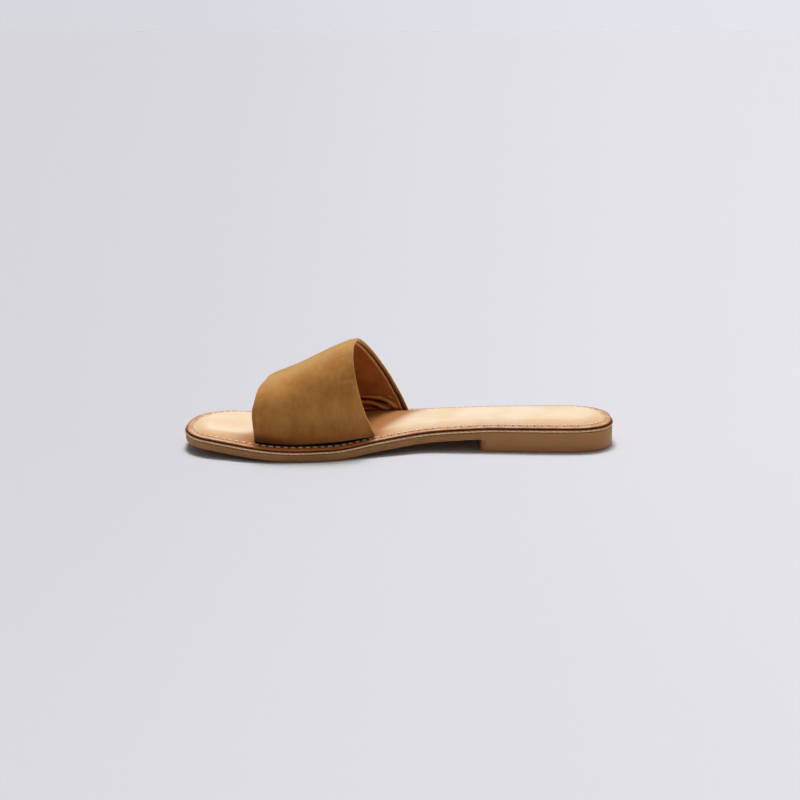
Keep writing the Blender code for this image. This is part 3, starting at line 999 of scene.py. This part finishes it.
# Strokes are given in millimetres on the band laid flat: back from the front edge, and up from the foot on
# their own side. A ridge has a negative depth.
Stroke = namedtuple("Stroke", "name back_from up_from back_to up_to width depth")
MEDIAL_CREASES = (
    Stroke("rear edge crease", 53.0, 34.4, 59.0, 33.9, 0.8, 0.46),
    Stroke("rear edge crease", 54.5, 30.8, 60.0, 30.5, 0.7, 0.32),
    Stroke("rear edge crease", 52.5, 28.2, 60.0, 28.0, 0.7, 0.38),
    Stroke("rear edge crease", 53.0, 25.6, 58.0, 25.8, 0.7, 0.24),
    Stroke("rear edge nick", 52.0, 46.9, 54.0, 46.3, 0.8, 0.26),
    Stroke("rear edge bump", 57.4, 43.6, 57.8, 40.0, 0.8, -0.18),
    Stroke("rear bulge", 44.0, 20.0, 56.0, 44.0, 7.0, -0.35),
    Stroke("side hollow", 24.0, 16.0, 34.0, 46.0, 9.0, 0.40),
    Stroke("front swell", 8.0, 14.0, 10.0, 50.0, 6.0, -0.30),
    Stroke("shoulder hollow", 14.0, 66.0, 44.0, 74.0, 8.0, 0.30),
    Stroke("foot pull", 14.0, 6.0, 18.0, 16.0, 3.0, 0.25),
    Stroke("foot pull", 40.0, 6.0, 38.0, 18.0, 3.5, 0.25),
    Stroke("scuff", 30.0, 30.0, 33.0, 30.6, 0.7, 0.16),
    Stroke("scuff", 38.0, 22.0, 41.0, 21.4, 0.7, 0.14),
    Stroke("scuff", 26.0, 21.0, 31.0, 20.4, 0.6, 0.12),
)
LATERAL_CREASES = (
    Stroke("rear edge crease", 50.0, 36.0, 60.0, 35.0, 1.0, 0.30),
    Stroke("rear edge crease", 51.0, 32.0, 61.0, 31.5, 0.9, 0.28),
    Stroke("side hollow", 26.0, 46.0, 36.0, 20.0, 9.0, 0.40),
    Stroke("foot pull", 20.0, 6.0, 22.0, 16.0, 3.0, 0.25),
    Stroke("foot pull", 48.0, 6.0, 45.0, 17.0, 3.5, 0.25),
)


def pressed(strokes, back, up):
    """Depth of soft strokes that fade out past their ends. Where two meet, the stronger one shows."""
    trough = np.zeros(np.broadcast(back, up).shape)
    ridge = trough
    for stroke in strokes:
        way = np.array([stroke.back_to - stroke.back_from, stroke.up_to - stroke.up_from])
        reach = np.linalg.norm(way)
        way = way / reach
        run = (back - stroke.back_from) * way[0] + (up - stroke.up_from) * way[1]
        aside = (back - stroke.back_from) * -way[1] + (up - stroke.up_from) * way[0]
        past = np.maximum(np.maximum(-run, run - reach), 0.0)
        fade = np.exp(-((past / stroke.width / 1.5) ** 2))
        depth = stroke.depth * np.exp(-((aside / stroke.width) ** 2)) * fade
        trough = np.maximum(trough, depth)
        ridge = np.minimum(ridge, depth)
    return trough + ridge


NUDGE = 0.004


def band_frame(across):
    """Points, outward ways and backward ways of the band's outer face, at shares across each step."""
    over = np.broadcast_to(even_over[:, None], across.shape)
    face = band_face(across, over)
    before = band_face(np.maximum(across - NUDGE, 0), over)
    back_way = band_face(np.minimum(across + NUDGE, 1), over) - before
    up_way = np.gradient(face, axis=0)
    return face, unit(np.cross(back_way, up_way)), unit(back_way)


medial_up = girth[:, None]
lateral_up = girth[-1] - girth[:, None]
foot_up = np.minimum(medial_up, lateral_up)

# Low on each side the padding bulges out over the slot, furthest at the medial rear corner
PadPlace = namedtuple("PadPlace", "name across medial_out lateral_out lift")
PAD_PLACES = (
    PadPlace("front edge", 0.00, 0.8, 0.8, 1.4),
    PadPlace("front half", 0.40, 1.4, 1.0, 1.8),
    PadPlace("behind the middle", 0.65, 2.6, 1.2, 3.4),
    PadPlace("rear half", 0.85, 4.0, 1.2, 3.4),
    PadPlace("rear edge", 1.00, 4.6, 0.8, 2.2),
)
pad_across = column(PAD_PLACES, "across")
pad_medial = through(pad_across, column(PAD_PLACES, "medial_out"))
pad_lateral = through(pad_across, column(PAD_PLACES, "lateral_out"))
pad_lift = through(pad_across, column(PAD_PLACES, "lift"))
PAD_START = 0.4
PAD_FULL = 4.0
PAD_FADE = 14.0
CREASE_START = 3.0
CREASE_FADE = 6.0


def pad_filled(across):
    """How full the padding is: nothing in the slot, all of it above its lift."""
    lift = pad_lift(across)
    return smooth_step((foot_up - PAD_START * lift) / ((1 - PAD_START) * lift))


def padding(across):
    """How far the padding bulges out."""
    most = np.where(medial_up < lateral_up, pad_medial(across), pad_lateral(across))
    return most * pad_filled(across) * (1 - smooth_step((foot_up - PAD_FULL) / PAD_FADE))


roll = BAND_THICK / 2 - EDGE_DROP / 2
edge_share = (roll / widths)[:, None]
outer_across = edge_share + (1 - 2 * edge_share) * np.linspace(0, 1, OUTER_ROWS + 1)[None, :]
outer_face, outer_out, outer_back = band_frame(outer_across)
outer_face = outer_face + outer_out * padding(outer_across)[..., None]
back_mm = outer_across * widths[:, None]
edge_away = np.minimum(back_mm, widths[:, None] - back_mm)
drop = EDGE_DROP * (1 - smooth_step(edge_away / EDGE_DROP_WIDTH)) ** 1.5
creases = pressed(MEDIAL_CREASES, back_mm, medial_up) + pressed(LATERAL_CREASES, back_mm, lateral_up)
depth = drop + creases * smooth_step((foot_up - CREASE_START) / CREASE_FADE)
outer_points = outer_face - outer_out * depth[..., None]

hem_mm = np.array([HEM_WIDTH - HEM_LEAD, HEM_WIDTH, HEM_WIDTH + HEM_TAIL])
hem_share = np.concatenate([edge_share, hem_mm / widths[:, None]], axis=1)
inner_share = np.linspace(INNER_MARGIN, 1 - INNER_MARGIN, INNER_ROWS)[None, :].repeat(OVER_STEPS + 1, axis=0)
inner_across = np.concatenate([hem_share, inner_share, 1 - hem_share[:, ::-1]], axis=1)
inner_face, inner_out, _ = band_frame(inner_across)
inner_depth = np.full(inner_across.shape, BAND_THICK)
inner_depth[:, 3:-3] = BAND_THICK - HEM_STEP
inner_depth[:, [2, -3]] = BAND_THICK - HEM_EASE
inner_points = inner_face - inner_out * inner_depth[..., None]


def edge_roll(outer, inner, back):
    """Half round from the outer to the inner face, over one turned edge."""
    centre = (outer + inner) / 2
    half = (outer - inner) / 2
    turn = np.linspace(0, np.pi, ROLL_POINTS + 1)[None, 1:-1, None]
    return centre[:, None] + half[:, None] * np.cos(turn) + back[:, None] * np.sin(turn) * roll


rear_roll = edge_roll(outer_points[:, -1], inner_points[:, -1], outer_back[:, -1])
front_roll = edge_roll(outer_points[:, 0], inner_points[:, 0], -outer_back[:, 0])
band_tube = np.concatenate([outer_points, rear_roll, inner_points[:, ::-1], front_roll[:, ::-1]], axis=1)

suede, places = new_finish("tan_suede")
up = mark(places, "up")
cloud = places.grain(16.0, 3.0)
brush = places.node(
    "ShaderNodeVectorMath", {"operation": "MULTIPLY"}, {0: places, 1: (1.0, 1.0, 0.35)}
)
streak = brush.grain(3.0, 4.0, 0.6)
nap = places.grain(0.35, 3.0, 0.7)
mottle = cloud * 0.5 + streak * 0.3 + nap * 0.2
tone = mottle.between(0.36, 0.64).blend(paint(186, 122, 54), paint(210, 148, 77))
# Painted shade: the suede is painted darker towards the foot of the band.
low = 1 - (up + 10.0 * (cloud - 0.5)).between(3.0, 23.0)
tone = (low * 0.68).blend(tone, paint(128, 64, 18))
# Painted shade: dark brown at the foot of the band's front part, where it meets the footbed.
front_foot_shade = (1 - places.part(0).between(-78.0, -50.0)) * (1 - (up + 6.0 * (cloud - 0.5)).between(2.0, 9.0))
tone = (front_foot_shade * 0.6).blend(tone, paint(72, 32, 10))
# Painted highlight: the top of the band, from about 40 mm up, is painted paler.
tone = (up.between(40.0, 62.0) * 0.45).blend(tone, paint(230, 184, 116))
# Painted shade: where the padding runs out into the slot, the suede is painted near-black.
tone = (1 - mark(places, "filled").between(0.3, 0.9)).blend(tone, paint(30, 12, 4))
# Painted shade: the turned edges, the trench and the inner side are painted dark brown.
tone = mark(places, "inner_shade").blend(tone, paint(66, 28, 8))
close_finish(
    places,
    tone,
    0.88 + 0.1 * nap,
    nap * 0.6 + streak * 0.4,
    0.16,
    {
        "Specular IOR Level": 0.15,
        "Sheen Weight": 0.8,
        "Sheen Roughness": 0.45,
        "Sheen Tint": paint(240, 210, 164),
    },
)
# How dark the inner side is painted, as painted shade: full behind the lining, less on the turned edges
HEM_SHADE = 0.9
EDGE_SHADE = 0.55
band_up = foot_up.repeat(band_tube.shape[1], axis=1)
inner_shade = np.zeros(band_tube.shape[:2])
first_inner = outer_points.shape[1] + rear_roll.shape[1]
last_inner = first_inner + inner_points.shape[1]
filled = np.ones(band_tube.shape[:2])
filled[:, : outer_points.shape[1]] = pad_filled(outer_across)
inner_shade[:, first_inner:last_inner] = HEM_SHADE
inner_shade[:, [first_inner, last_inner - 1]] = EDGE_SHADE
inner_shade[:, first_inner + 3 : last_inner - 3] = 1.0
band_marks = {"up": [band_up], "filled": [filled], "inner_shade": [inner_shade]}
band = add_piece("suede_band", [(band_tube, True)], suede, band_marks, sharp=60.0)
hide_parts("upper")

# Lining
# A soft brown lining inside the band. Its edges are folded under and stand clear of the suede's turned
# edges, with a dark trench between, and it bunches up into folds where it goes down into the slots.
LINING_THICK = 1.3
LINING_TRENCH = 0.6
LINING_CLEAR = 0.08
LINING_FOOT = 0.4
LINING_LIP = 0.3
LINING_EDGE_ROUND = 1.0
LINING_FOOT_START = 1.5
LINING_FOOT_REACH = 3.0
FOLD_EDGE_FADE = 4.0
FOLD_FOOT_START = 1.0
FOLD_FOOT_FADE = 2.0
LINING_ROWS = 60
LINING_EDGE = np.array([0.0, 0.1, 0.25, 0.45, 0.7, 1.0, 1.4])

MEDIAL_FOLDS = (
    Stroke("base fold", 26.0, 11.0, 62.0, 8.0, 1.5, -1.0),
    Stroke("base fold", 12.0, 8.0, 40.0, 6.0, 1.4, -0.8),
    Stroke("slack", 20.0, 26.0, 56.0, 22.0, 4.0, -0.5),
)
LATERAL_FOLDS = (
    Stroke("upper base fold", 14.0, 9.4, 28.0, 10.6, 2.4, -0.7),
    Stroke("upper base fold", 28.0, 10.6, 42.0, 10.8, 1.6, -1.4),
    Stroke("upper base fold", 40.0, 10.8, 54.0, 8.8, 1.1, -2.2),
    Stroke("upper base fold", 54.0, 8.8, 64.0, 3.8, 1.0, -2.0),
    Stroke("middle base fold", 20.0, 6.0, 36.0, 6.8, 1.5, -1.1),
    Stroke("middle base fold", 34.0, 6.8, 48.0, 6.0, 1.0, -2.0),
    Stroke("middle base fold", 48.0, 6.0, 58.0, 2.6, 0.9, -2.0),
    Stroke("rear base fold", 60.0, 9.4, 67.0, 6.6, 1.0, -1.2),
    Stroke("lower base fold", 24.0, 3.2, 46.0, 3.0, 1.2, -1.2),
    Stroke("trough", 40.0, 8.8, 58.0, 5.6, 0.8, 0.9),
    Stroke("trough", 36.0, 4.9, 52.0, 3.6, 0.7, 0.8),
    Stroke("slack", 20.0, 24.0, 60.0, 20.0, 4.0, -0.5),
)
tuck = HEM_WIDTH + LINING_TRENCH
lining_width = widths[:, None] - 2 * tuck
middle_share = np.linspace(0, 1, LINING_ROWS + 1)[None, 1:-1]
lining_mm = np.concatenate(
    [
        np.broadcast_to(LINING_EDGE, (len(girth), len(LINING_EDGE))),
        LINING_EDGE[-1] + (lining_width - 2 * LINING_EDGE[-1]) * middle_share,
        lining_width - LINING_EDGE[::-1],
    ],
    axis=1,
)
from_fold = np.minimum(lining_mm, lining_width - lining_mm)
lining_across = (lining_mm + tuck) / widths[:, None]
lining_face, lining_out, _ = band_frame(lining_across)
folds = pressed(MEDIAL_FOLDS, lining_mm + tuck, medial_up)
folds = folds + pressed(LATERAL_FOLDS, lining_mm + tuck, lateral_up)
folds = folds * smooth_step(from_fold / FOLD_EDGE_FADE)
folds = folds * smooth_step((foot_up - FOLD_FOOT_START) / FOLD_FOOT_FADE)
fold_round = np.sqrt(1 - (1 - np.clip(from_fold / LINING_EDGE_ROUND, 0, 1)) ** 2)
above_foot = smooth_step((foot_up - LINING_FOOT_START) / LINING_FOOT_REACH)
lining_thick = LINING_THICK * between(LINING_FOOT, 1.0, above_foot)
lining_thick = lining_thick * between(LINING_LIP, 1.0, fold_round)
lining_depth = BAND_THICK - HEM_STEP + LINING_CLEAR
lining_outer = lining_face - lining_out * lining_depth
lining_inner = lining_outer - lining_out * (lining_thick - folds)[..., None]
lining_tube = np.concatenate([lining_outer, lining_inner[:, ::-1]], axis=1)

smooth_brown, places = new_finish("brown_lining")
cloud = places.grain(10.0)
pore = places.grain(0.5, 3.0)
tone = cloud.between(0.3, 0.7).blend(paint(162, 90, 32), paint(182, 108, 46))
# Painted highlight on the ridges of the folds, and painted shade in their troughs.
crest = mark(places, "crest")
tone = (crest.between(0.4, 1.6) * 0.9).blend(tone, paint(248, 178, 104))
tone = (1 - crest.between(-0.5, -0.1)).blend(tone, paint(70, 28, 8))
# Painted highlight: a pale line along the lining's folded edges.
tone = (1 - mark(places, "from_fold").between(0.3, 0.8)).blend(tone, paint(222, 160, 92))
close_finish(places, tone, 0.36 + 0.16 * pore, pore, 0.04, {"Specular IOR Level": 0.4})
lining_marks = {
    "from_fold": [np.concatenate([from_fold, from_fold[:, ::-1]], axis=1)],
    "crest": [np.concatenate([-folds, -folds[:, ::-1]], axis=1)],
}
add_piece("band_lining", [(lining_tube, True)], smooth_brown, lining_marks, sharp=60.0)

# Studio
# A pale floor that runs on to the horizon, under a small soft lamp above and behind the shoe, with weak
# light from overhead and from both ends, and a rim of sky that meets the floor in nearly its own tone.
FLOOR_HALF = 60.0
Light = namedtuple("Light", "name way focus strength")
LIGHTS = (
    Light("key from behind", (-0.02, 0.38, 0.92), 90.0, 40.0),
    Light("soft overhead", (0.0, 0.30, 0.95), 3.0, 0.35),
)
EVEN_STRENGTH = 0.04
END_STRENGTH = 0.18
RIM_STRENGTH = 0.74
RIM_FULL = 0.05
RIM_HEIGHT = 0.16
# The toe's side of the room is darker than the heel's: in the sky's rim as light, on the floor as painted
# shade. The change spreads out with distance.
SIDE_REACH = 300.0
SIDE_SPREAD = 0.27
SKY_SIDES = 0.16
SKY_COLOUR = (1.0, 0.995, 0.99, 1.0)
RIM_COLOUR = (0.93, 0.93, 1.0, 1.0)

floor_points = [(x, y, 0.0) for y in (-FLOOR_HALF, FLOOR_HALF) for x in (-FLOOR_HALF, FLOOR_HALF)]
floor_faces = [(0, 1, 3, 2)]
floor_mesh = bpy.data.meshes.new("seamless_floor")
floor_mesh.from_pydata(floor_points, [], floor_faces)
floor = bpy.data.objects.new("seamless_floor", floor_mesh)
bpy.context.scene.collection.objects.link(floor)
paper, places = new_finish("pale_paper")
far = places.part(1)
# Painted shade: the floor is painted darker towards the toe's side.
spread = SIDE_REACH + SIDE_SPREAD * far.maths("ABSOLUTE", far, 0.0)
to_side = spread.maths("DIVIDE", places.part(0), spread)
tone = to_side.between(-1.0, 1.0).blend(paint(212, 212, 218), paint(228, 228, 235))
fibre = places.grain(2.0)
close_finish(places, tone, 0.9 + 0.02 * fibre, fibre, 0.02, {"Specular IOR Level": 0.1})
floor_mesh.materials.append(paper)

world = bpy.data.worlds.new("studio")
world.use_nodes = True
world.node_tree.nodes.clear()
sky = Shade(world.node_tree).node("ShaderNodeTexCoord", output="Generated")
sky = sky.node("ShaderNodeVectorMath", {"operation": "NORMALIZE"}, {0: sky})
rim_of_sky = 1 - sky.part(2).between(RIM_FULL, RIM_HEIGHT)
from_ends = sky.part(0) * sky.part(0) * (1 - rim_of_sky)
to_heel_side = sky.part(0).between(-SIDE_SPREAD, SIDE_SPREAD) - 0.5
rim_glow = rim_of_sky * (RIM_STRENGTH * (1 + SKY_SIDES * to_heel_side))
glow = EVEN_STRENGTH + END_STRENGTH * from_ends + rim_glow
for light in LIGHTS:
    way = unit(np.array(light.way)).tolist()
    facing = sky.node("ShaderNodeVectorMath", {"operation": "DOT_PRODUCT"}, {0: sky, 1: way}, output="Value")
    lit = facing.maths("MAXIMUM", facing, 0.0)
    glow = glow + light.strength * lit.maths("POWER", lit, light.focus)
sky_colour = rim_of_sky.blend(SKY_COLOUR, RIM_COLOUR)
background = sky.node("ShaderNodeBackground", None, {"Color": sky_colour, "Strength": glow})
sky.node("ShaderNodeOutputWorld", None, {"Surface": background})
bpy.context.scene.world = world
bpy.context.scene.view_settings.view_transform = "Standard"
